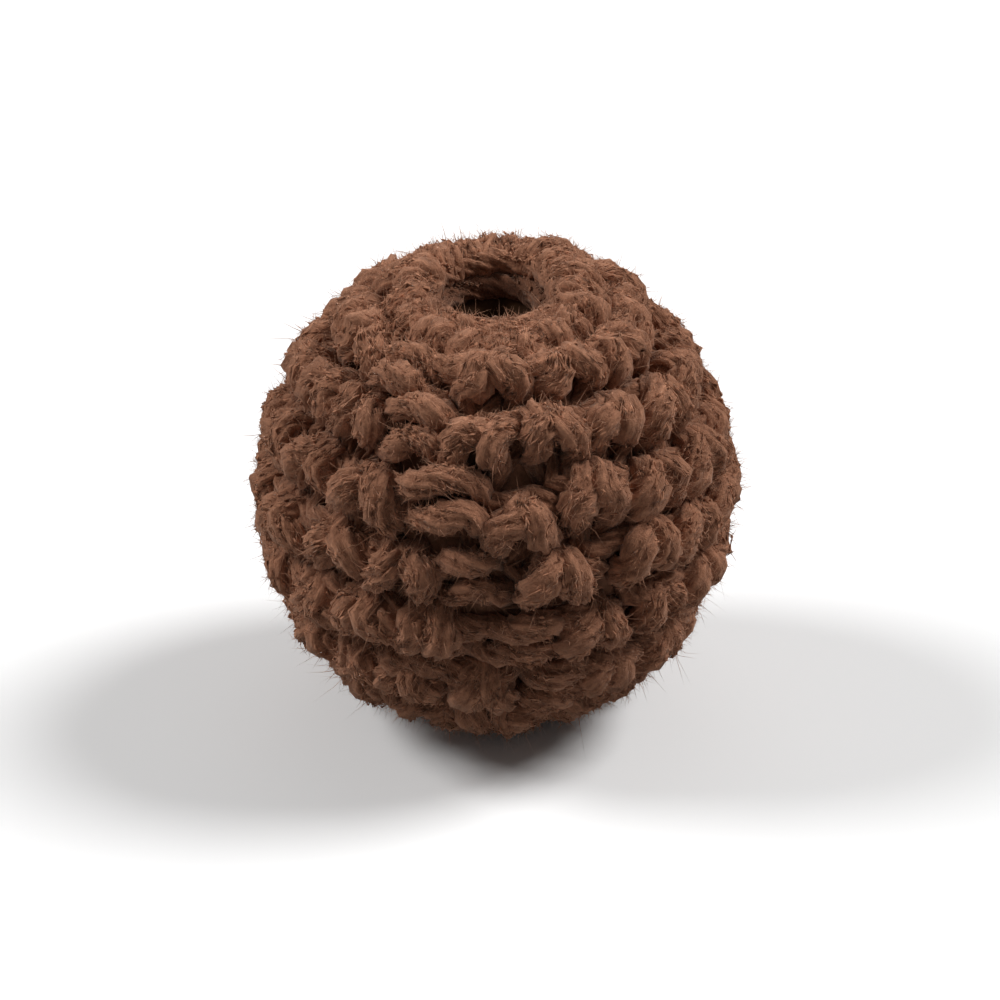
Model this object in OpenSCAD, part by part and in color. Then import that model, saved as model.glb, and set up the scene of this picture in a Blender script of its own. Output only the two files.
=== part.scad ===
// Crochet bead: a turned wooden ball with a string hole, covered in single crochet.
// The cover is one yarn, worked in closed rounds from the top end of the hole to the bottom end.
// Millimetres. The origin is the centre of the ball and +Z runs up along the string hole.

/* [Wooden ball] */
// Diameter of the wooden ball inside the cover
core_d = 15; // [10:0.5:30]
// Diameter of the string hole through the ball
hole_d = 3.2; // [1.5:0.1:5]
// Depth of the cone that eases each mouth of the hole
hole_ease = 0.5; // [0.2:0.1:1]

/* [Crochet cover] */
// Thickness of the cover, from the ball to the crests of the stitches
cover_t = 2.5; // [1.5:0.1:4]
// Extra thickness of the cover at its two ends, where the rounds bunch up
end_rise = 0.3; // [0:0.05:0.8]
// Width of a strand of the yarn, as it lies in the stitches
yarn_d = 1.6; // [1:0.1:2.5]
// Depth of the gaps between strands, measured from the crests
gap_depth = 1.4; // [0.6:0.1:2]
// Radial room between the string hole and the edge of the cover round it
collar_room = 0.2; // [0.1:0.1:1]
// Radial clearance between the ball and the cover
seat_gap = 0.05; // [0.02:0.01:0.2]

/* [Stitches] */
// Stitches in the first and the last round
first_round = 6; // [5:1:8]
// Rounds over which the work widens, and narrows again
widening_rounds = 2; // [1:1:3]
// Rounds worked at full width
full_rounds = 5; // [2:1:10]
// How far apart the two legs of a stitch start, as a share of its width
legs_start = 0.16; // [0.1:0.02:0.4]
// How far apart the two legs of a stitch end, as a share of its width
legs_end = 0.6; // [0.4:0.02:0.7]
// Height of the chain that the legs cross over, as a share of the gap depth
chain_height = 0.5; // [0.3:0.05:1]

/* [Hidden] */

// Facets of the cover: samples across a stitch, and the plain inner wall
ACROSS = 8;
INNER_COLUMNS = 36;
INNER_ROWS = 12;

core_r = core_d / 2;
hole_r = hole_d / 2;
opening_r = hole_r + collar_room;
seat_r = core_r + seat_gap;

// The edge round each opening is a half-round lip. Between the lips the cover is nearly a sphere.
lip_r = (cover_t + end_rise) / 2;
lip_ring_r = opening_r + lip_r;
lip_centre_r = seat_r + lip_r;
lip_lat = acos(lip_ring_r / lip_centre_r);
// How far round the lips the stitches reach
LIP_WRAP = 100;

function rad(a) = a * PI / 180;
function deg(a) = a * 180 / PI;
function polar(r, a) = [r * cos(a), r * sin(a)];

// Stitches in each round: they widen, run at full width, and narrow again.
stitches = [
    for (k = [1:widening_rounds]) first_round * k,
    for (k = [1:full_rounds]) first_round * (widening_rounds + 1),
    for (k = [widening_rounds:-1:1]) first_round * k
];
rounds = len(stitches);

// The meridian of the crests, from one opening to the other. t is the way along it from the middle,
// and each point is [[radius, z], normal angle].
crest_r = seat_r + cover_t + end_rise / 2;
side_half = crest_r * rad(lip_lat);
meridian_half = side_half + lip_r * rad(LIP_WRAP);
round_h = 2 * meridian_half / rounds;

function crest_at(lat) = seat_r + cover_t + end_rise * pow(lat / lip_lat, 2);
function lip_point(a) = polar(lip_centre_r, lip_lat) + polar(lip_r, a);
function flip(p) = [[p[0][0], -p[0][1]], -p[1]];
function upper_meridian(t) =
    t <= side_half
        ? let (lat = deg(t / crest_r)) [polar(crest_at(lat), lat), lat]
        : let (a = lip_lat + deg((t - side_half) / lip_r)) [lip_point(a), a];
function meridian(t) = t < 0 ? flip(upper_meridian(-t)) : upper_meridian(t);

// Profile of one strand: 1 on its crest, 0 at its sides
function strand(d) = abs(d) >= yarn_d / 2 ? 0 : sqrt(1 - pow(2 * d / yarn_d, 2));

// The two legs of a stitch come up out of one hole, spread apart on their way down the round and
// turn in at its foot. v runs from 0 to 1 down the round.
LEG_TURN = 0.15;
function leg_arch(v) = sqrt(1 - pow((2 * v - 1) / (1 + LEG_TURN), 2));
function leg_place(v) = (legs_start + (legs_end - legs_start) * v) / 2;
function legs(x, v, width) = strand(abs(x) - width * leg_place(v)) * leg_arch(v);

// The chain of the round above shows between the stitches, and the legs cross over it.
CHAIN_PLACE = 0.38;
function chain(v) = chain_height * strand((v - CHAIN_PLACE) * round_h);

// The strands behind the stitches close the gaps between them.
BACK_STRANDS = 0.15;

// Height of the yarn above the deepest gap, from 0 to 1. x runs across a stitch from its middle.
function yarn_height(x, v, width) = max(legs(x, v, width), chain(v), BACK_STRANDS * sin(180 * v));

// Rows of facets down a round. They are closest at its ends, where the legs turn in. The row
// between two rounds has as many stitches as the wider one.
ROW_PLACES = [0.1, CHAIN_PLACE, 0.65, 0.9];
middle = floor(rounds / 2);
function row_places(k) = concat(k <= middle ? [0] : [], ROW_PLACES, k >= middle ? [1] : []);

// Place of each sample across a stitch, from 0 to 1: the crest of a leg is at each odd quarter.
function across(s, v) =
    s > 0.5 ? 1 - across(1 - s, v)
    : let (crest = 0.5 - leg_place(v)) s < 0.25 ? 4 * s * crest : crest + 4 * (s - 0.25) * leg_place(v);

// The stitches fade out where the lip turns in towards the ball.
function fade(t) = min(1, (meridian_half - abs(t)) / lip_r);

// One ring of the outer surface. Each round stands half a stitch on from the one above it.
function worked_ring(k, v) =
    let (
        n = stitches[k],
        t = meridian_half - (k + v) * round_h,
        m = meridian(t),
        width = 2 * PI * m[0][0] / n
    )
    [for (j = [0:n * ACROSS - 1])
        let (
            sample = j + k * ACROSS / 2,
            u = across((sample % ACROSS) / ACROSS, v),
            depth = gap_depth * fade(t) * (1 - yarn_height((u - 0.5) * width, v, width)),
            p = m[0] - polar(depth, m[1]),
            a = 360 / n * (floor(sample / ACROSS) + u - k / 2)
        )
        [p[0] * cos(a), p[0] * sin(a), p[1]]];

// One ring of the plain inner wall
function plain_ring(p) =
    [for (j = [0:INNER_COLUMNS - 1])
        let (a = 360 * j / INNER_COLUMNS)
        [p[0] * cos(a), p[0] * sin(a), p[1]]];

// Flat facets between points of a sphere lie inside it, so these points stand a little further out.
inner_step = 2 * lip_lat / INNER_ROWS;
inner_r = seat_r / (cos(180 / INNER_COLUMNS) * cos(inner_step / 2));
lip_turn = (LIP_WRAP + 180) / 2;

rings = concat(
    [for (k = [0:rounds - 1], v = row_places(k)) worked_ring(k, v)],
    [plain_ring(flip([lip_point(lip_lat + lip_turn), 0])[0])],
    [for (row = [0:INNER_ROWS]) plain_ring(polar(inner_r, row * inner_step - lip_lat))],
    [plain_ring(lip_point(lip_lat + lip_turn))]
);

// Triangles between two rings, which may have different numbers of points
NUDGE = 1e-6;
function zip_rings(a0, na, b0, nb) = concat(
    [for (i = [0:na - 1])
        let (j = ceil((i + 0.5) * nb / na - 0.5 - NUDGE))
        [a0 + (i + 1) % na, b0 + j % nb, a0 + i]],
    [for (j = [0:nb - 1])
        let (i = floor((j + 0.5 + NUDGE) * na / nb - 0.5) + 1)
        [a0 + i % na, b0 + (j + 1) % nb, b0 + j]]
);

function running_total(list, i = 0, sum = 0) =
    i == len(list) ? [] : concat([sum], running_total(list, i + 1, sum + len(list[i])));

module core_ball() {
    mouth_z = sqrt(core_r * core_r - hole_r * hole_r);
    color("burlywood")
    difference() {
        sphere(r = core_r, $fn = 96);
        cylinder(h = core_d + 2, r = hole_r, center = true, $fn = 64);
        for (side = [-1, 1])
            scale([1, 1, side])
                translate([0, 0, mouth_z - hole_ease])
                    cylinder(h = 2 * hole_ease, r1 = hole_r, r2 = hole_r + 2 * hole_ease, $fn = 64);
    }
}

module crochet_cover() {
    starts = running_total(rings);
    count = len(rings);
    faces = [
        for (i = [0:count - 1])
            let (next = (i + 1) % count)
            each zip_rings(starts[i], len(rings[i]), starts[next], len(rings[next]))
    ];
    color([0.42, 0.29, 0.22])
    polyhedron(points = [for (ring = rings) each ring], faces = faces, convexity = 8);
}

core_ball();
crochet_cover();
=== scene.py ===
"""Looks of the crochet bead: one soft brown yarn worked in single crochet over a bored wooden ball.

Lengths are in millimetres, and MM turns them into metres where meshes are made. The work goes from
the top opening down to the bottom one. A place in the fabric is given by an angle round the bead, a
row and a depth. Rows are counted down from the edge of the top opening, one to a round of stitches,
and the depth is measured inwards from the crests. The front of the bead is at an angle of -90 degrees.
"""
import math

import bpy
import numpy as np
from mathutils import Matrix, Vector


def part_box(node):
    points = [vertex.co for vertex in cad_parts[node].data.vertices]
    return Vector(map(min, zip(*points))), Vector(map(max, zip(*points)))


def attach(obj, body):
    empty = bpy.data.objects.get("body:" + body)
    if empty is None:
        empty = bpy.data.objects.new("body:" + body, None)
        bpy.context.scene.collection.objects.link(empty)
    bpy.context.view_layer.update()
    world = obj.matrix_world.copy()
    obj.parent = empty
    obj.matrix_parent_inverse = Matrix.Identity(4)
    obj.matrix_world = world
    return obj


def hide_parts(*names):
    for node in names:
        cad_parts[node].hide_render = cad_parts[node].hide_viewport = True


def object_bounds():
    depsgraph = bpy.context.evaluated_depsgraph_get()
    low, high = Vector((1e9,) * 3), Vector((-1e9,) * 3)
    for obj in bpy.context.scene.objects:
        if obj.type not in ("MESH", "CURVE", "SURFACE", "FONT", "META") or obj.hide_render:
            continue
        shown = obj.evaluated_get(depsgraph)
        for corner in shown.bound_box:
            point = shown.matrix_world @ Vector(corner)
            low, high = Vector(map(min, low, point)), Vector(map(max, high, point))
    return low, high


MM = 0.001
TURN = 2 * math.pi
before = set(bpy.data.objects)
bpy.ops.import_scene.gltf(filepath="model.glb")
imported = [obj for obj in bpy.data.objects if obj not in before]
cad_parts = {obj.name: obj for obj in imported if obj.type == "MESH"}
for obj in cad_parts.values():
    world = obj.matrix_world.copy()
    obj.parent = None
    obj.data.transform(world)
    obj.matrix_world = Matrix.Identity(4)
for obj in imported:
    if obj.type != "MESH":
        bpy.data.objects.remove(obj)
cad_low, cad_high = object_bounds()
_, cover_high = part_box("crochet_cover")
_, ball_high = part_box("core_ball")
rng = np.random.default_rng(7)

# ---------------------------------------------------------------- sizes of the fabric
BALL_R = ball_high.x / MM
CREST_R = cover_high.x / MM
OPENING_R = 1.7

# Extra thickness of the cover at its two ends, and how much of it the top end lacks
END_RISE = 0.315
TOP_SINK = 0.13

# The edge of the top opening is pulled out and down on its front side. Inside the opening the pull
# fades to LEAST_PULL of itself, over an angle of PULL_FADE round the lip that ends at PULL_END.
PULL_OUT = 1.15
PULL_DOWN = 1.2
PULL_END = 2.6
PULL_FADE = 1.2
LEAST_PULL = 0.2

# The edge stands up a little at the back, to the right of the middle by this angle
BACK_LIFT = 0.22
BACK_LIFT_TURN = 0.35

# The cover stands out a little more round the bottom, where the work is slack
BOTTOM_SWELL = 0.25

# The edge round each opening is a half-round lip. Between the lips the cover is nearly a sphere.
LIP_R = (CREST_R - BALL_R + END_RISE) / 2
LIP_RING_R = OPENING_R + LIP_R
LIP_CENTRE_R = BALL_R + LIP_R
LIP_LATITUDE = math.acos(LIP_RING_R / LIP_CENTRE_R)
LIP_CENTRE_Z = LIP_CENTRE_R * math.sin(LIP_LATITUDE)

# Stitches in each round. The first round has 12 finer stitches, where the CAD model has 6, for the
# fine strands that show round the top opening.
STITCHES = [12, 12, 18, 18, 18, 18, 18, 12, 6]
ROW_HEIGHT = 2 * CREST_R * LIP_LATITUDE / (len(STITCHES) - 1)

# How far round the top lip row 0 lies, in rows
ROW_RISE = 0.22

# The seam at which rounds are closed. It moves round the bead by half a stitch a round.
SEAM_START = math.radians(-154)
SEAM_ROWS = range(1, 8)

# The lower rounds are slack, from this row on, and fully so this many rows further down
SLACK_FROM = 3.5
SLACK_OVER = 2

# ---------------------------------------------------------------- sizes of the yarn
YARN_R = 0.64
PLIES = 7
PLY_SAMPLES = 3
TWIST_LEAD = 7.5

# Distance of a ply from the middle of the yarn, in ply radii, and how much the grooves are deepened
PLY_SPREAD = 1.4
PLY_GROOVES = 1.5

# Distance between rings of points in sight and out of sight, and the depth at which sight is lost
FRONT_STEP = 0.25
BACK_STEP = 0.9
SIGHT_DEPTH = 1.4
SIGHT_FADE = 0.4

# Depths of the strands, and how full they are there, as a share of the yarn's width
CREST_DEPTH = 0.76
LEAST_DEPTH = CREST_DEPTH - 0.05
CHAIN_DEPTH = 1.52
CHAIN_FULL = 0.82
INNER = (1.95, 0.62)

# Unevenness of each point of a stitch and of the whole stitch, in pitches, rows, depth and fullness,
# and that of the turns round the openings, in rows and depth
POINT_SPREAD = (0.05, 0.04, 0.07, 0.06)
STITCH_SPREAD = (0.07, 0.055, 0.07, 0.06)
TURN_SPREAD = (0.05, 0.04)

# Unevenness of the yarn's width, of the plies on it and of their surface. Lumps of a ply are
# smoothed over three rings, which multiplies their spread by LUMP_SUM.
WIDTH_SPREAD = 0.025
PLY_LUMPS = 0.05
LUMP_SUM = 2.45
GRAIN = 0.038

# Rows and depths of the turns of yarn that the first round is worked over, and of the turn over it
TOP_TURNS = (
    (-0.95, 0.30),
    (-0.75, 1.05),
    (-0.45, 1.15),
    (-0.1, 1.1),
    (0.25, 1.05),
    (-0.5, 0.78),
)
TOP_TURN_FULL = 0.85

# Row, depth and fullness of the turn of yarn round the bottom opening
BOTTOM_TURN = (len(STITCHES) - 0.10, 1.0, 0.8)
TURN_POINTS = 8

# Samples of the curve between two points of the plan
SPAN_SAMPLES = 12


# ---------------------------------------------------------------- path of the yarn
def fabric_points(angle, row, depth):
    """Points in the fabric, from arrays of angles, rows and depths."""
    # way runs up the outside from the middle. What goes past the start of a lip is beyond, and the
    # rest gives the latitude.
    half = CREST_R * LIP_LATITUDE
    way = half - (row - ROW_RISE) * ROW_HEIGHT
    beyond = np.maximum(np.abs(way) - half, 0)
    latitude = np.minimum(np.abs(way), half) / CREST_R
    share = latitude / LIP_LATITUDE
    swell = np.sin(math.pi * share**2) ** 2
    rise = (END_RISE - np.where(way > 0, TOP_SINK, 0)) * share**2
    rise = rise + np.where(way < 0, BOTTOM_SWELL, 0) * swell
    normal = latitude + beyond / LIP_R
    on_side = CREST_R + rise - LIP_R
    flat = on_side * np.cos(latitude) + (LIP_R - depth) * np.cos(normal)
    high = on_side * np.sin(latitude) + (LIP_R - depth) * np.sin(normal)
    pull = np.where(way > 0, np.maximum(-np.sin(angle), 0), 0) * share**4
    pull = pull * np.clip((PULL_END - beyond / LIP_R) / PULL_FADE, LEAST_PULL, 1)
    lift = np.where(way > 0, np.maximum(np.sin(angle + BACK_LIFT_TURN), 0) ** 4, 0)
    flat = flat + PULL_OUT * pull
    high = np.sign(way) * high - PULL_DOWN * pull + BACK_LIFT * lift * share**4
    return np.stack([flat * np.cos(angle), flat * np.sin(angle), high], -1)


# The parts of a stitch are lists of points: angle, row, depth and fullness. Their rows are counted
# from the stitch's own row, and their angles are given by its top and its pitch.
def leg(side, top, hole, pitch, slack):
    """One leg of a stitch, from behind its hole to its foot. side is -1 or 1."""
    mid = 0.5 * (top + hole)
    return [
        (hole + side * 0.06 * pitch, -0.12, *INNER),
        (hole + side * 0.07 * pitch, -0.24, 1.65, 0.76),
        (mid + side * 0.12 * pitch, -0.12, 1.02, 0.98),
        (top + side * 0.19 * pitch, 0.03, CREST_DEPTH + 0.05 * slack, 1.10),
        (top + side * 0.26 * pitch, 0.20, 0.86 + 0.1 * slack, 1.10),
        (top + side * 0.31 * pitch, 0.35, 1.25 + 0.1 * slack, 0.98),
        (top + side * 0.27 * pitch, 0.50, 1.90, 0.72),
    ]


def first_leg(side, top, pitch):
    """A leg of the first round, which starts inside the opening and wraps its edge."""
    angle = top + side * 0.25 * pitch
    return [
        (angle, -0.30, 1.60, 0.6),
        (angle, -1.00, 1.15, 0.65),
        (angle, -0.72, 0.78, 0.72),
        (angle, -0.35, 0.70, 0.78),
        (angle, 0.00, 0.70, 0.84),
        (angle, 0.30, 0.76, 0.90),
        (top + side * 0.28 * pitch, 0.52, 1.15, 0.9),
        (top + side * 0.26 * pitch, 0.70, 1.80, 0.75),
    ]


def chain(top, pitch, slack):
    """The loop on the edge of the work that the stitch ends in. It lies higher in slack work."""
    return [
        (top, 0.50, *INNER),
        (top - 0.10 * pitch, 0.88, 1.75, 0.75),
        (top + 0.20 * pitch, 0.93, 1.40 - 0.35 * slack, 0.85),
        (top + 0.55 * pitch, 0.90, CHAIN_DEPTH - 0.4 * slack, CHAIN_FULL + 0.1 * slack),
        (top + 0.90 * pitch, 0.95, 1.40 - 0.3 * slack, 0.85),
        (top + 1.08 * pitch, 1.05, 1.70, 0.75),
        (top + 0.85 * pitch, 1.15, *INNER),
        (top + 0.50 * pitch, 1.18, *INNER),
        (top + 0.12 * pitch, 1.10, *INNER),
        (top + 0.40 * pitch, 0.50, *INNER),
    ]


def seam(top, pitch):
    """The two flat loops at which a round is closed and the next one begins."""
    points = []
    for row in (0.36, -0.10):
        points += [
            (top - 0.42 * pitch, row + 0.12, 1.60, 0.75),
            (top - 0.24 * pitch, row + 0.02, 1.05, 0.82),
            (top + 0.02 * pitch, row - 0.06, 0.86, 0.85),
            (top + 0.28 * pitch, row - 0.03, 1.05, 0.82),
            (top + 0.42 * pitch, row + 0.10, 1.60, 0.75),
            (top + 0.20 * pitch, row - 0.10, *INNER),
            (top - 0.25 * pitch, row - 0.20, *INNER),
        ]
    return points + [(top + 0.3 * pitch, 0.3, *INNER), (top + 0.5 * pitch, 0.9, *INNER)]


def leg_holes(i, top, start, count, before):
    """Angles of the holes that the legs of stitch i come out of. Narrowing work joins two holes."""
    shares = (0.3, 0.7) if count < before else (0.5, 0.5)
    holes = [start + (math.floor((i + s) * before / count) + 0.5) * TURN / before for s in shares]
    return holes if count == before else [0.5 * (hole + top) for hole in holes]


def stitch_points(row, i, start, count, before):
    """Points of stitch i of a round of count stitches. The round above it has before stitches."""
    pitch = TURN / count
    top = start + (i + 0.5) * pitch
    if i == 0 and row in SEAM_ROWS:
        return seam(top, pitch)
    slack = min(max((row - SLACK_FROM) / SLACK_OVER, 0), 1)
    if row == 0:
        slack = 1
        legs = [first_leg(side, top, pitch) for side in (-1, 1)]
    else:
        holes = leg_holes(i, top, start, count, before)
        legs = [leg(side, top, hole, pitch, slack) for side, hole in zip((-1, 1), holes)]
    between = (top, 0.92, 1.80, 0.7)
    return legs[0] + [between] + legs[1][::-1] + chain(top, pitch, slack)


def ring_turn(row, depth, full, start):
    """One turn round an opening. It lies a little unevenly."""
    uneven = rng.normal(0, 1, (TURN_POINTS, 2)) * TURN_SPREAD
    return [
        (start + k * TURN / TURN_POINTS, row + uneven[k, 0], depth + uneven[k, 1], full)
        for k in range(TURN_POINTS)
    ]


def yarn_plan():
    """Angle, row, depth and fullness of each point that the yarn goes through."""
    plan = []
    for row, depth in TOP_TURNS:
        plan += ring_turn(row, depth, TOP_TURN_FULL, 0)
    start = SEAM_START
    before = STITCHES[0]
    for row, count in enumerate(STITCHES):
        pitch = TURN / count
        for i in range(count):
            stitch = np.array(stitch_points(row, i, start, count, before))
            wobble = rng.normal(0, 1, stitch.shape) * (POINT_SPREAD * np.array((pitch, 1, 1, 1)))
            shift = rng.normal(0, 1, 4) * (STITCH_SPREAD * np.array((pitch, 1, 1, 1)))
            stitch += wobble + shift + (0, row, 0, 0)
            stitch[:, 2] = np.maximum(stitch[:, 2], LEAST_DEPTH)
            plan += stitch.tolist()
        start += 0.5 * pitch
        before = count
    plan += ring_turn(*BOTTOM_TURN, start)
    return np.array(plan)


def smooth_line(points):
    """A centripetal Catmull-Rom curve through points whose first three columns are a place."""
    p = np.vstack([2 * points[0] - points[1], points, 2 * points[-1] - points[-2]])
    gaps = np.linalg.norm(np.diff(p[:, :3], axis=0), axis=1) ** 0.5
    knots = np.concatenate([[0], np.cumsum(gaps)])
    out = []
    for i in range(1, len(p) - 2):
        p0, p1, p2, p3 = p[i - 1 : i + 3]
        k0, k1, k2, k3 = knots[i - 1 : i + 3]
        t = np.linspace(k1, k2, SPAN_SAMPLES, endpoint=False)[:, None]
        a1 = (k1 - t) / (k1 - k0) * p0 + (t - k0) / (k1 - k0) * p1
        a2 = (k2 - t) / (k2 - k1) * p1 + (t - k1) / (k2 - k1) * p2
        a3 = (k3 - t) / (k3 - k2) * p2 + (t - k2) / (k3 - k2) * p3
        b1 = (k2 - t) / (k2 - k0) * a1 + (t - k0) / (k2 - k0) * a2
        b2 = (k3 - t) / (k3 - k1) * a2 + (t - k1) / (k3 - k1) * a3
        out.append((k2 - t) / (k2 - k1) * b1 + (t - k1) / (k2 - k1) * b2)
    return np.vstack(out + [p[-2:-1]])


def resampled(line, depth):
    """The same line with its points closer together where the yarn is in sight."""
    gaps = np.linalg.norm(np.diff(line[:, :3], axis=0), axis=1)
    along = np.concatenate([[0], np.cumsum(gaps)])
    unseen = np.clip((depth - SIGHT_DEPTH) / SIGHT_FADE, 0, 1)
    steps = FRONT_STEP + (BACK_STEP - FRONT_STEP) * unseen
    cost = np.concatenate([[0], np.cumsum(gaps / steps[1:])])
    at = np.linspace(0, cost[-1], int(cost[-1]) + 1)
    columns = np.column_stack([line, depth, along])
    return np.stack([np.interp(at, cost, c) for c in columns.T], 1)


def unit(v):
    return v / np.linalg.norm(v, axis=-1, keepdims=True)


def transported_frames(line):
    """Two directions across a line at each of its points, which turn no more than the line does."""
    tangent = unit(np.gradient(line, axis=0))
    side = np.zeros_like(line)
    side[0] = unit(np.cross(tangent[0], (0.0, 0.0, 1.0)))
    for i in range(1, len(line)):
        side[i] = unit(side[i - 1] - tangent[i] * (side[i - 1] @ tangent[i]))
    return side, np.cross(tangent, side)


# The yarn's line: the place of each point, how full the yarn is there, its depth, the way along it
# and two directions across it
plan = yarn_plan()
control = np.column_stack([fabric_points(*plan[:, :3].T), plan[:, 3], plan[:, 2]])
curve = smooth_line(control)
curve = resampled(curve[:, :4], curve[:, 4])
place, fullness, depth, along = curve[:, :3], curve[:, 3], curve[:, 4], curve[:, 5]
side, up = transported_frames(place)

# ---------------------------------------------------------------- painted shade
# Painted shade: wool that lies between strands or deep in an opening is painted darker, for the shade
# that falls there. The shade starts at this depth and is full this much deeper. The pit's painted shade
# is
# added in the openings: on their inner wall below the edge, which ends WALL_ROOM from the opening, and
# near the hole at any height.
SHADE_FROM_DEPTH = 1.0
SHADE_OVER_DEPTH = 0.8
PAINTED_PIT_SHADE = 2.0
WALL_ROOM = 1.3
WALL_FADE = 0.3
HOLE_ROOM = 0.55
HOLE_FADE = 0.4
EDGE_RISE = 0.25
EDGE_FADE = 0.7

# How much darker the deepest groove between two plies is painted: painted shade in the grooves
PAINTED_GROOVE_SHADE = 0.6

from_axis = np.hypot(place[:, 0], place[:, 1])
below_edge = np.clip((LIP_CENTRE_Z + EDGE_RISE - np.abs(place[:, 2])) / EDGE_FADE, 0, 1)
inside = np.clip((OPENING_R + WALL_ROOM - from_axis) / WALL_FADE, 0, 1) * below_edge
inside = np.maximum(inside, np.clip((OPENING_R + HOLE_ROOM - from_axis) / HOLE_FADE, 0, 1))
painted_depth_shade = np.clip((depth - SHADE_FROM_DEPTH) / SHADE_OVER_DEPTH, 0, 1) + PAINTED_PIT_SHADE * inside


# ---------------------------------------------------------------- yarn mesh
def ply_outline():
    """Angles and distances of one turn round the yarn: the outline of plies lying side by side."""
    half = math.pi / PLIES
    ply = 1 / (1 + PLY_SPREAD)
    centre = PLY_SPREAD * ply
    angles, radii = [], []
    for k in range(PLIES):
        for j in range(PLY_SAMPLES):
            a = -half + 2 * half * j / PLY_SAMPLES
            lobe = centre * math.cos(a) + math.sqrt(ply**2 - (centre * math.sin(a)) ** 2)
            angles.append(2 * half * k + a)
            radii.append(1 - PLY_GROOVES * (1 - lobe))
    return np.array(angles), np.array(radii)


ply_angles, ply_radii = ply_outline()


def yarn_rings():
    """Rings of points on the yarn's surface, with its plies turning round it."""
    a = ply_angles[None, :] + (TURN * along / TWIST_LEAD)[:, None]
    r = YARN_R * ply_radii[None, :] * fullness[:, None] * rng.normal(1, WIDTH_SPREAD, (len(along), 1))
    lumps = rng.normal(0, 1, (len(along) + 2, PLIES))
    lumps = (lumps[:-2] + 2 * lumps[1:-1] + lumps[2:]) / LUMP_SUM
    r = r + PLY_LUMPS * np.repeat(lumps, PLY_SAMPLES, axis=1) + rng.normal(0, GRAIN, r.shape)
    out = np.cos(a)[:, :, None] * side[:, None, :] + np.sin(a)[:, :, None] * up[:, None, :]
    return place[:, None, :] + r[:, :, None] * out


def mesh_from(name, points, faces, corner_uvs):
    """A smooth mesh in metres. corner_uvs has a place on the map for each corner of each face."""
    mesh = bpy.data.meshes.new(name)
    mesh.from_pydata((points * MM).tolist(), [], faces)
    layer = mesh.uv_layers.new(name="OFBake")
    layer.data.foreach_set("uv", corner_uvs.astype(np.float32).ravel())
    mesh.shade_smooth()
    return mesh


def add_painted_shade(mesh, values):
    """Keeps each point's painted shade, from 0 in the open, which darkens the wool's colour."""
    field = mesh.attributes.new("painted_shade", "FLOAT", "POINT")
    field.data.foreach_set("value", values.astype(np.float32))


def add_lay(mesh, values):
    """Keeps each point's place in the straightened yarn, for streaks that follow the plies."""
    field = mesh.attributes.new("lay", "FLOAT_VECTOR", "POINT")
    field.data.foreach_set("vector", values.astype(np.float32).ravel())


# The map of a yarn piece has this many rows, filled to this share. A small fan for its ends lies in
# a corner of the map, shifted to there.
MAP_ROWS = 12
MAP_ROW_FILL = 0.9
MAP_FAN = 0.02
MAP_FAN_SHIFT = (0.95, 0.95)


def tube_mesh(name, rings, lay, painted_shade):
    """A tube through rings of points, closed by a point at each end. Its map is laid in rows."""
    count, around = rings.shape[:2]
    i = np.repeat(np.arange(count - 1), around)
    j = np.tile(np.arange(around), count - 1)
    k = (j + 1) % around
    quads = np.stack([i * around + j, i * around + k, (i + 1) * around + k, (i + 1) * around + j], 1)
    per_row = math.ceil((count - 1) / MAP_ROWS)
    across = (i % per_row)[:, None] + np.array([0, 0, 1, 1])
    down = (j[:, None] + np.array([0, 1, 1, 0])) / around
    down = (i // per_row)[:, None] + MAP_ROW_FILL * down
    quad_uvs = np.stack([across / per_row, down / MAP_ROWS], -1).reshape(-1, 2)

    j = np.arange(around)
    k = (j + 1) % around
    end_ring = (count - 1) * around
    first, last = count * around, count * around + 1
    first_cap = np.stack([k, j, np.full(around, first)], 1)
    last_cap = np.stack([end_ring + j, end_ring + k, np.full(around, last)], 1)
    fan = TURN * np.stack([j, j + 1], 1) / around
    fan = MAP_FAN + MAP_FAN * np.stack([np.cos(fan), np.sin(fan)], -1)
    fan = np.concatenate([fan, np.full((around, 1, 2), MAP_FAN)], 1) + MAP_FAN_SHIFT
    fan = fan.reshape(-1, 2)

    points = np.concatenate([rings.reshape(-1, 3), rings[[0, -1]].mean(1)])
    faces = quads.tolist() + first_cap.tolist() + last_cap.tolist()
    mesh = mesh_from(name, points, faces, np.concatenate([quad_uvs, fan, fan]))
    add_lay(mesh, np.concatenate([lay.reshape(-1, 3), lay[[0, -1]].mean(1)]))
    add_painted_shade(mesh, np.append(painted_shade, painted_shade[[0, -1]].mean(1)))
    return mesh


# ---------------------------------------------------------------- fibres
# Each fibre has a cell of the map to itself, with this margin round it
CELL_MARGIN = 0.05

# Fibres grow where the yarn is shallow and faces out of the bead, and a little past its outline.
# More spots are tried than are kept.
GROWTH_DEPTH = 1.6
GROWTH_FADE = 0.6
PAST_OUTLINE = 0.15
SPOT_TRIES = 6

# Laid fibres follow the twist unevenly, sway, and rise in their middle. Their ends are thin and a
# share of their half width is sunk in the yarn.
LAID_KNOTS = 3
LAID_TWIST_SPREAD = 0.9
LAID_SWAY = 0.12
LAID_SUNK = 0.8
LAID_RISE = (0.02, 0.10)
LAID_RISE_SPREAD = 0.015
LAID_END = 0.35

# Loose fibres start under the surface, lean along the yarn, and bend. Their lengths spread round the
# usual one and have a limit, and where their painted shade is deep, in the fabric or an opening, and
# close to the string hole they are shorter.
ROOT_LIFT = -0.03
AHEAD_WAY = 0.2
AHEAD_ANGLE = 0.2
LENGTH_SPREAD = 0.4
LONGEST = 0.75
SHORT_SHADE = 0.5
SHORT_ROOM = 1.1
SHORT_SHARE = 0.4
LEAVE_OUT = (0.4, 1.1)
LEAVE_ALONG = (0.1, 1)
LOOSE_RADII = (0.008, 0.016)
LOOSE_TIP = 0.5
FLOOR_ROOM = 0.02


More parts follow.
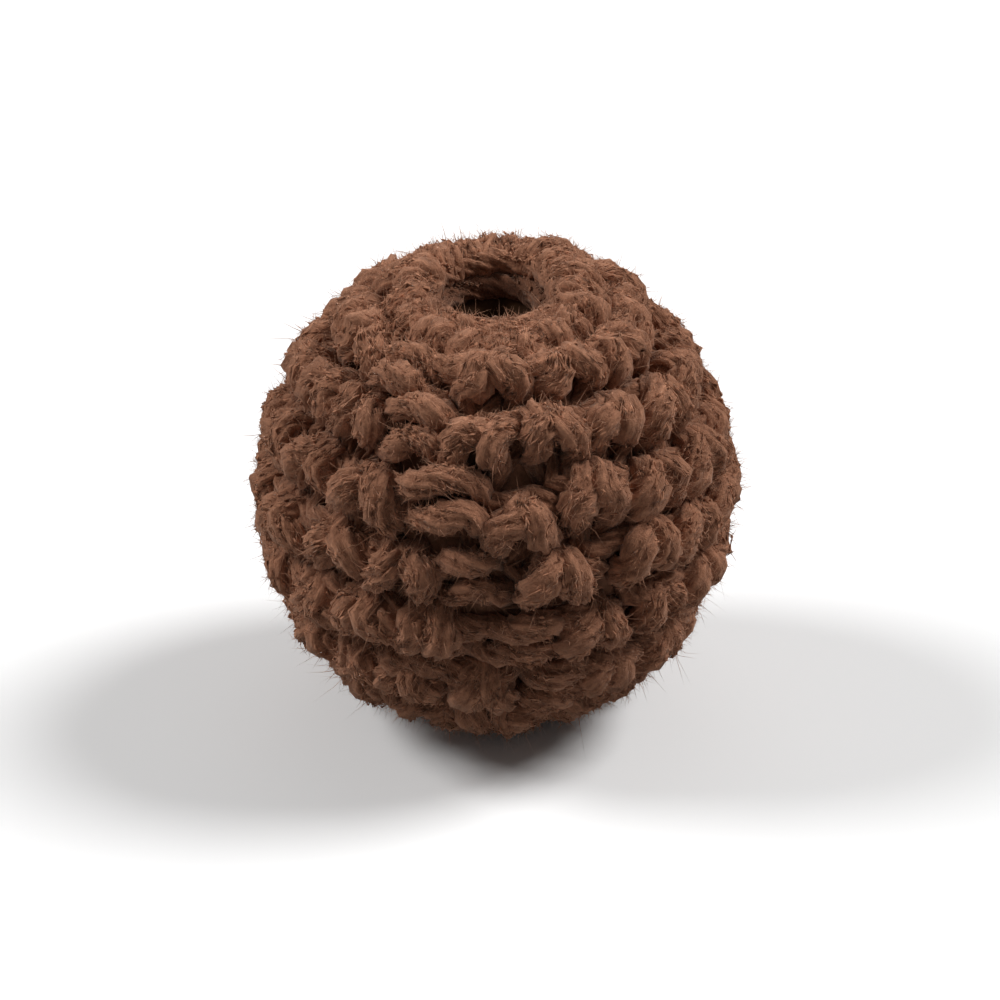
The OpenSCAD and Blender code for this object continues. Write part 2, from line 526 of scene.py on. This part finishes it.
def spikes_mesh(name, centres, outward, radii, depth_shade_at):
    """Thin three-sided fibres through rows of centres. Each is closed, and ends in a point."""
    n, k = centres.shape[:2]
    forward = unit(np.gradient(centres, axis=1))
    across = unit(np.cross(forward, outward))
    above = np.cross(across, forward)
    corners = TURN * np.arange(3) / 3
    ring = (
        np.cos(corners)[None, None, :, None] * across[:, :, None, :]
        + np.sin(corners)[None, None, :, None] * above[:, :, None, :]
    )
    points = centres[:, :, None, :] + radii[:, :, None, None] * ring
    points = points[:, :-1].reshape(n, -1, 3)
    points = np.concatenate([points, centres[:, -1:, :]], 1)
    per = points.shape[1]

    # Faces of one fibre and their corners on the map, as (knot, side): its root, sides and tip
    faces = [(0, 2, 1)]
    uvs = [((0, 0), (0.2, 3), (0, 3))]
    for s in range(k - 2):
        for c in range(3):
            d = (c + 1) % 3
            faces.append((3 * s + c, 3 * s + d, 3 * s + 3 + d))
            uvs.append(((s, c), (s, c + 1), (s + 1, c + 1)))
            faces.append((3 * s + c, 3 * s + 3 + d, 3 * s + 3 + c))
            uvs.append(((s, c), (s + 1, c + 1), (s + 1, c)))
    for c in range(3):
        faces.append((3 * k - 6 + c, 3 * k - 6 + (c + 1) % 3, per - 1))
        uvs.append(((k - 2, c), (k - 2, c + 1), (k - 1, c + 0.5)))
    faces = (np.array(faces)[None] + per * np.arange(n)[:, None, None]).reshape(-1, 3)

    cells = math.ceil(math.sqrt(n))
    cell = np.stack([np.arange(n) % cells, np.arange(n) // cells], 1)
    uvs = CELL_MARGIN + (1 - 2 * CELL_MARGIN) * np.array(uvs, float) / (k - 1, 3)
    corner_uvs = (cell[:, None, None, :] + uvs[None]) / cells
    mesh = mesh_from(name, points.reshape(-1, 3), faces.tolist(), corner_uvs.reshape(-1, 2))
    # Painted shade: each fibre is painted with the shade of its root, darker where it is buried or lies
    # in an opening
    add_painted_shade(mesh, np.repeat(depth_shade_at, per))
    return mesh


def on_yarn(along_at, angle, lift):
    """Places above the yarn's surface and the way out of it there, for arrays of the same shape."""
    index = np.interp(along_at, along, np.arange(len(along)))
    low_i = np.minimum(index.astype(int), len(along) - 2)
    share = (index - low_i)[..., None]

    def mix(field):
        return field[low_i] * (1 - share) + field[low_i + 1] * share

    half_ply = math.pi / PLIES
    lay = np.mod(angle - TURN * along_at / TWIST_LEAD + half_ply, TURN) - half_ply
    outline = np.interp(lay, np.append(ply_angles, TURN - half_ply), np.append(ply_radii, ply_radii[0]))
    out = np.cos(angle)[..., None] * mix(side) + np.sin(angle)[..., None] * mix(up)
    full = mix(fullness[:, None])[..., 0]
    return mix(place) + (YARN_R * outline * full + lift)[..., None] * out, unit(out)


def choose_spots(count):
    """Random spots on the yarn that fibres grow from: ways along it, angles and the painted shade
    there.
    """
    tries = SPOT_TRIES * count
    shallow = np.clip((GROWTH_DEPTH - depth) / GROWTH_FADE, 0, 1)
    sample = rng.choice(len(along) - 2, tries, p=shallow[:-2] / shallow[:-2].sum())
    angle = rng.uniform(0, TURN, tries)
    out = np.cos(angle)[:, None] * side[sample] + np.sin(angle)[:, None] * up[sample]
    facing = (out * unit(place[sample])).sum(1)
    kept = np.nonzero(rng.uniform(0, 1, tries) < facing + PAST_OUTLINE)[0][:count]
    return along[sample[kept]], angle[kept], painted_depth_shade[sample[kept]]


def laid_fibres(name, count, lengths, widths):
    """Short tufts that lie on the yarn, raised in their middle."""
    start, angle, depth_shade_at = choose_spots(count)
    count = len(start)
    t = np.linspace(0, 1, LAID_KNOTS)[None, :]
    length = rng.uniform(*lengths, (count, 1))
    turning = TURN / TWIST_LEAD * rng.normal(1.0, LAID_TWIST_SPREAD, (count, 1))
    sway = rng.normal(0, LAID_SWAY, (count, LAID_KNOTS))
    at = np.clip(start[:, None] + length * (t - 0.5), along[0], along[-1])
    way = angle[:, None] + turning * length * (t - 0.5) + sway
    width = rng.uniform(*widths, (count, 1))
    lift = -LAID_SUNK * width + rng.uniform(*LAID_RISE, (count, 1)) * np.sin(math.pi * t)
    lift = lift + rng.normal(0, LAID_RISE_SPREAD, (count, LAID_KNOTS))
    centres, out = on_yarn(at, way, lift)
    radii = width * (LAID_END + (1 - LAID_END) * np.sin(math.pi * t))
    return spikes_mesh(name, centres, out, radii, depth_shade_at)


def loose_fibres(name, count, usual, knots):
    """Short fibres that leave the yarn at a low angle and bend. usual is their usual length."""
    start, angle, depth_shade_at = choose_spots(count)
    count = len(start)
    lift = np.full(count, ROOT_LIFT)
    root, out = on_yarn(start, angle, lift)
    ahead, _ = on_yarn(np.minimum(start + AHEAD_WAY, along[-1]), angle + AHEAD_ANGLE, lift)
    run = unit(ahead - root) * np.sign(rng.normal(0, 1, (count, 1)))
    length = np.minimum(rng.lognormal(math.log(usual), LENGTH_SPREAD, count), LONGEST)[:, None]
    at_hole = np.hypot(root[:, 0], root[:, 1]) < OPENING_R + SHORT_ROOM
    length = length * np.where((depth_shade_at > SHORT_SHADE) | at_hole, SHORT_SHARE, 1)[:, None]
    leave = out * rng.uniform(*LEAVE_OUT, (count, 1)) + run * rng.uniform(*LEAVE_ALONG, (count, 1))
    leave = unit(leave)
    bend = rng.normal(0, 1.0, (count, 3))
    t = np.linspace(0, 1, knots)[None, :, None]
    centres = root[:, None] + length[:, None] * (t * leave[:, None] + t**2 * bend[:, None])
    centres[..., 2] = np.maximum(centres[..., 2], cad_low.z / MM + FLOOR_ROOM)
    radii = rng.uniform(*LOOSE_RADII, (count, 1)) * np.linspace(1, LOOSE_TIP, knots)[None, :]
    return spikes_mesh(name, centres, np.broadcast_to(out[:, None], centres.shape), radii, depth_shade_at)


# ---------------------------------------------------------------- lining
LINING_AROUND = 96
LINING_STEPS = 40
LINING_INNER_R = BALL_R + 0.06
LINING_OUTER_R = BALL_R + 0.5

# How far the lining reaches past the lips' latitude, where its painted shade near the openings starts,
# and its low ridges
LINING_PAST_LIP = 0.12
LINING_PAINTED_SHADE_FROM = 0.15
LINING_RIDGE = 0.12
LINING_RIDGES = 24


def lining_mesh(name):
    """The felted back of the fabric: a thin shell over the ball, open at both ends."""
    reach = LIP_LATITUDE + LINING_PAST_LIP
    latitudes = np.linspace(-reach, reach, LINING_STEPS)
    ridges = LINING_RIDGE * np.sin(LINING_RIDGES * latitudes)
    profile = [(LINING_OUTER_R + r, a) for r, a in zip(ridges, latitudes)]
    profile += [(LINING_INNER_R, a) for a in latitudes[::-1]]
    profile = np.array(profile)
    angle = TURN * np.arange(LINING_AROUND) / LINING_AROUND
    flat = (profile[:, 0] * np.cos(profile[:, 1]))[:, None]
    high = (profile[:, 0] * np.sin(profile[:, 1]))[:, None]
    high = np.broadcast_to(high, (len(profile), LINING_AROUND))
    points = np.stack([flat * np.cos(angle), flat * np.sin(angle), high], -1)
    i = np.repeat(np.arange(len(profile)), LINING_AROUND)
    j = np.tile(np.arange(LINING_AROUND), len(profile))
    next_i, next_j = (i + 1) % len(profile), (j + 1) % LINING_AROUND
    faces = [i * LINING_AROUND + j, i * LINING_AROUND + next_j]
    faces += [next_i * LINING_AROUND + next_j, next_i * LINING_AROUND + j]
    corner_u = (j[:, None] + np.array([0, 1, 1, 0])) / LINING_AROUND
    corner_v = (i[:, None] + np.array([0, 0, 1, 1])) / len(profile)
    uvs = np.stack([corner_u, corner_v], -1).reshape(-1, 2)
    mesh = mesh_from(name, points.reshape(-1, 3), np.stack(faces, 1).tolist(), uvs)
    # Painted shade: the lining is painted darker towards its edges, inside the openings
    past = np.abs(profile[:, 1]) - LIP_LATITUDE + LINING_PAINTED_SHADE_FROM
    edge_shade = np.clip(past / LINING_PAINTED_SHADE_FROM, 0, 1)
    add_painted_shade(mesh, PAINTED_PIT_SHADE * np.repeat(edge_shade, LINING_AROUND))
    return mesh


# ---------------------------------------------------------------- materials
# Dark and light shades of the wool in each kind of piece, and the painted shade that its deepest parts
# reach
YARN_SHADES = ((0.21, 0.086, 0.046), (0.615, 0.287, 0.167))
FIBRE_SHADES = ((0.19, 0.079, 0.042), (0.655, 0.312, 0.183))
LOOSE_SHADES = ((0.27, 0.125, 0.073), (0.74, 0.38, 0.235))
LINING_SHADES = ((0.25, 0.11, 0.063), (0.42, 0.2, 0.12))
PAINTED_DEEP_SHADE = (0.045, 0.019, 0.011)
# The wood is near-black so that where it shows in the openings it passes for their shade: painted shade
WOOD_SHADES = ((0.04, 0.018, 0.009), (0.08, 0.038, 0.018))
SHEEN_TINT = (0.85, 0.58, 0.44)

# Places of the two shades on the scale of the noise, how far a point's painted shade moves it along it,
# towards the painted deep shade, and the share of the noise that streaks take
DARK_STOP = 0.36
LIGHT_STOP = 0.64
PAINTED_SHADE_STEP = -0.10
STREAK_SHARE = 0.5


def node_material(name):
    material = bpy.data.materials.new(name)
    material.use_nodes = True
    return material, material.node_tree, material.node_tree.nodes["Principled BSDF"]


def set_inputs(node, **values):
    """Sets inputs by name, with _ for a space."""
    for name, value in values.items():
        node.inputs[name.replace("_", " ")].default_value = value


def new_node(tree, kind, **values):
    node = tree.nodes.new(kind)
    set_inputs(node, **values)
    return node


def new_math(tree, operation, *operands):
    """The output of a math node whose operands are sockets or numbers."""
    node = tree.nodes.new("ShaderNodeMath")
    node.operation = operation
    for socket, operand in zip(node.inputs, operands):
        if isinstance(operand, (int, float)):
            socket.default_value = operand
        else:
            tree.links.new(operand, socket)
    return node.outputs[0]


def new_field(tree, name):
    """A node that reads one of the mesh's own fields."""
    node = tree.nodes.new("ShaderNodeAttribute")
    node.attribute_name = name
    return node


def add_bump(tree, shader, height, strength, distance):
    bump = new_node(tree, "ShaderNodeBump", Strength=strength, Distance=distance)
    tree.links.new(height, bump.inputs["Height"])
    tree.links.new(bump.outputs["Normal"], shader.inputs["Normal"])


def wool_material(name, shades, streaks):
    """Matt wool. The colour wanders between two shades, partly the wool's own uneven tone and partly
    painted shade between fibres, and streaks run along the plies.
    """
    material, tree, shader = node_material(name)
    links = tree.links
    place_in = tree.nodes.new("ShaderNodeTexCoord")
    # The patches' contrast is partly the wool's own uneven tone and partly painted shade where fibres
    # shade each other
    patches = new_node(tree, "ShaderNodeTexNoise", Scale=2600, Detail=5, Roughness=0.75)
    links.new(place_in.outputs["Object"], patches.inputs["Vector"])
    value = patches.outputs["Fac"]
    if streaks:
        fine = new_node(tree, "ShaderNodeTexNoise", Scale=5, Detail=4, Roughness=0.65)
        links.new(new_field(tree, "lay").outputs["Vector"], fine.inputs["Vector"])
        rest = new_math(tree, "MULTIPLY", value, 1 - STREAK_SHARE)
        value = new_math(tree, "MULTIPLY_ADD", fine.outputs["Fac"], STREAK_SHARE, rest)
        add_bump(tree, shader, value, strength=0.8, distance=0.0003)
    # Painted shade: a field on the mesh darkens the colour where the wool is buried, in ply grooves and
    # in the openings
    painted_shade = new_field(tree, "painted_shade").outputs["Fac"]
    value = new_math(tree, "MULTIPLY_ADD", painted_shade, PAINTED_SHADE_STEP, value)
    ramp = tree.nodes.new("ShaderNodeValToRGB")
    for element, position, shade in zip(ramp.color_ramp.elements, (DARK_STOP, LIGHT_STOP), shades):
        element.position = position
        element.color = (*shade, 1)
    ramp.color_ramp.elements.new(0).color = (*PAINTED_DEEP_SHADE, 1)
    links.new(value, ramp.inputs["Fac"])
    links.new(ramp.outputs["Color"], shader.inputs["Base Color"])
    set_inputs(shader, Roughness=0.95, Specular_IOR_Level=0.15)
    set_inputs(shader, Sheen_Weight=0.4, Sheen_Roughness=0.5, Sheen_Tint=(*SHEEN_TINT, 1))
    return material


def wood_material():
    """Dull wood with faint bands of grain, painted near-black: painted shade where it shows in the
    openings.
    """
    material, tree, shader = node_material("bare_wood")
    place_in = tree.nodes.new("ShaderNodeTexCoord")
    grain = new_node(tree, "ShaderNodeTexWave", Scale=260, Distortion=2.5, Detail=3)
    grain.wave_type = "BANDS"
    grain.bands_direction = "X"
    tree.links.new(place_in.outputs["Object"], grain.inputs["Vector"])
    ramp = tree.nodes.new("ShaderNodeValToRGB")
    for element, shade in zip(ramp.color_ramp.elements, WOOD_SHADES):
        element.color = (*shade, 1)
    tree.links.new(grain.outputs["Fac"], ramp.inputs["Fac"])
    tree.links.new(ramp.outputs["Color"], shader.inputs["Base Color"])
    add_bump(tree, shader, grain.outputs["Fac"], strength=0.2, distance=0.00005)
    set_inputs(shader, Roughness=0.9, Specular_IOR_Level=0.08)
    return material


# ---------------------------------------------------------------- build
def new_object(name, mesh, material):
    mesh.materials.append(material)
    piece = bpy.data.objects.new(name, mesh)
    bpy.context.scene.collection.objects.link(piece)
    return piece


def add_yarn_piece(name, mesh, material):
    piece = new_object(name, mesh, material)
    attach(piece, "root")
    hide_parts("crochet_cover")


yarn_wool = wool_material("yarn_wool", YARN_SHADES, True)
fibre_wool = wool_material("fibre_wool", FIBRE_SHADES, False)
loose_wool = wool_material("loose_wool", LOOSE_SHADES, False)
lining_wool = wool_material("lining_wool", LINING_SHADES, False)

# The yarn is one tube, cut into pieces. The pattern of its streaks counts the way along it at a share
# of LAY_ALONG, which draws the streaks out.
YARN_PIECES = 4
LAY_ALONG = 0.4
rings = yarn_rings()
lay = np.empty(rings.shape)
lay[..., 0] = YARN_R * np.cos(ply_angles)
lay[..., 1] = YARN_R * np.sin(ply_angles)
lay[..., 2] = LAY_ALONG * along[:, None]
# Painted shade for the yarn: darker in the grooves between plies, and where the wool is buried or lies
# in an opening
groove = (1 - ply_radii) / (1 - ply_radii.min())
painted_shade = np.clip(painted_depth_shade[:, None] + PAINTED_GROOVE_SHADE * groove[None, :], 0, 1 + PAINTED_PIT_SHADE)
cuts = np.linspace(0, len(place) - 1, YARN_PIECES + 1).astype(int)
for n in range(YARN_PIECES):
    part = slice(cuts[n], cuts[n + 1] + 1)
    mesh = tube_mesh(f"yarn_{n + 1}", rings[part], lay[part], painted_shade[part])
    add_yarn_piece(f"yarn_{n + 1}", mesh, yarn_wool)

# Names, counts, lengths and half widths of the fine and the thick tufts
TUFTS = (
    ("laid_fibres_1", 9000, (0.22, 0.6), (0.022, 0.042)),
    ("laid_fibres_2", 12700, (0.2, 0.42), (0.04, 0.075)),
    ("laid_fibres_3", 12700, (0.18, 0.36), (0.03, 0.06)),
)
for name, count, lengths, widths in TUFTS:
    add_yarn_piece(name, laid_fibres(name, count, lengths, widths), fibre_wool)

# Names, counts, usual lengths, knots and wools of the bent fibres and of the short straight fuzz
FUZZ = (
    ("loose_fibres_1", 11200, 0.29, 3, loose_wool),
    ("loose_fibres_2", 28000, 0.18, 2, fibre_wool),
    ("loose_fibres_3", 28000, 0.18, 2, loose_wool),
)
for name, count, usual, knots, wool in FUZZ:
    add_yarn_piece(name, loose_fibres(name, count, usual, knots), wool)
add_yarn_piece("yarn_back", lining_mesh("yarn_back"), lining_wool)

ball = bpy.context.scene.objects["core_ball"]
ball.data.materials.clear()
ball.data.materials.append(wood_material())

# ---------------------------------------------------------------- stage, light, camera
# Colour of the floor for the rays that light the bead, and as it is seen, where it clips to white.
# FLOOR_HALF is half its width in metres.
FLOOR_LIT = 0.33
FLOOR_SEEN = 1.2
FLOOR_HALF = 3

# Strength of the light that comes from all round. The lamps are suns, so their distance doesn't count.
AMBIENT = 0.10
LAMP_DISTANCE = 0.2

# Lens and sensor in millimetres, distance and aim in metres. The camera looks down by its elevation
# at a point close to the bead's middle.
CAMERA_LENS = 85
CAMERA_SENSOR = 36
CAMERA_DISTANCE = 0.0955
CAMERA_ELEVATION = math.radians(25.5)
CAMERA_AIM_X = 0.00022
CAMERA_AIM_Z = -0.00075


def sun(name, azimuth, elevation, power, spread):
    """A soft far light. Its angles are in degrees, and it comes from the front at an azimuth of 0."""
    azimuth, elevation = math.radians(azimuth), math.radians(elevation)
    data = bpy.data.lights.new(name, "SUN")
    data.energy = power * math.pi / math.sin(elevation)
    data.angle = math.radians(spread)
    lamp = bpy.data.objects.new(name, data)
    bpy.context.scene.collection.objects.link(lamp)
    flat = math.cos(elevation)
    towards = Vector((flat * math.sin(azimuth), -flat * math.cos(azimuth), math.sin(elevation)))
    lamp.location = towards * LAMP_DISTANCE
    lamp.rotation_mode = "QUATERNION"
    lamp.rotation_quaternion = (-towards).to_track_quat("-Z", "Y")


def seen_rays(tree):
    """1 for the rays that show a background, and 0 for the rays that light the object."""
    path = tree.nodes.new("ShaderNodeLightPath")
    seen = path.outputs["Is Camera Ray"]
    for ray in ("Is Glossy Ray", "Is Transmission Ray"):
        seen = new_math(tree, "MAXIMUM", seen, path.outputs[ray])
    return seen


floor_material, floor_tree, floor_shader = node_material("pale_floor")
floor_color = floor_tree.nodes.new("ShaderNodeMix")
floor_color.data_type = "RGBA"
floor_color.inputs["A"].default_value = (FLOOR_LIT, FLOOR_LIT, FLOOR_LIT, 1)
floor_color.inputs["B"].default_value = (FLOOR_SEEN, FLOOR_SEEN, FLOOR_SEEN, 1)
floor_tree.links.new(seen_rays(floor_tree), floor_color.inputs["Factor"])
floor_tree.links.new(floor_color.outputs["Result"], floor_shader.inputs["Base Color"])
set_inputs(floor_shader, Roughness=1, Specular_IOR_Level=0)
corners = [
    (x * FLOOR_HALF, y * FLOOR_HALF, cad_low.z)
    for x, y in ((-1, -1), (1, -1), (1, 1), (-1, 1))
]
floor_mesh = bpy.data.meshes.new("floor")
floor_mesh.from_pydata(corners, [], [(0, 1, 2, 3)])
new_object("floor", floor_mesh, floor_material)

world = bpy.data.worlds.new("world")
bpy.context.scene.world = world
world.use_nodes = True
backdrop = world.node_tree.nodes["Background"]
backdrop.inputs["Color"].default_value = (1, 1, 1, 1)
strength = new_math(world.node_tree, "MULTIPLY_ADD", seen_rays(world.node_tree), 1 - AMBIENT, AMBIENT)
world.node_tree.links.new(strength, backdrop.inputs["Strength"])
sun("left_light", azimuth=-95, elevation=40, power=0.37, spread=26)
sun("right_light", azimuth=102, elevation=47, power=0.50, spread=26)
sun("top_light", azimuth=180, elevation=64, power=0.03, spread=40)

camera_data = bpy.data.cameras.new("camera")
camera = bpy.data.objects.new("camera", camera_data)
bpy.context.scene.collection.objects.link(camera)
bpy.context.scene.camera = camera
camera_data.lens = CAMERA_LENS
camera_data.sensor_width = CAMERA_SENSOR
camera_data.clip_start = 0.001
camera.location = (
    CAMERA_AIM_X,
    -CAMERA_DISTANCE * math.cos(CAMERA_ELEVATION),
    CAMERA_AIM_Z + CAMERA_DISTANCE * math.sin(CAMERA_ELEVATION),
)
camera.rotation_euler = (math.pi / 2 - CAMERA_ELEVATION, 0, 0)
bpy.context.scene.view_settings.view_transform = "Standard"
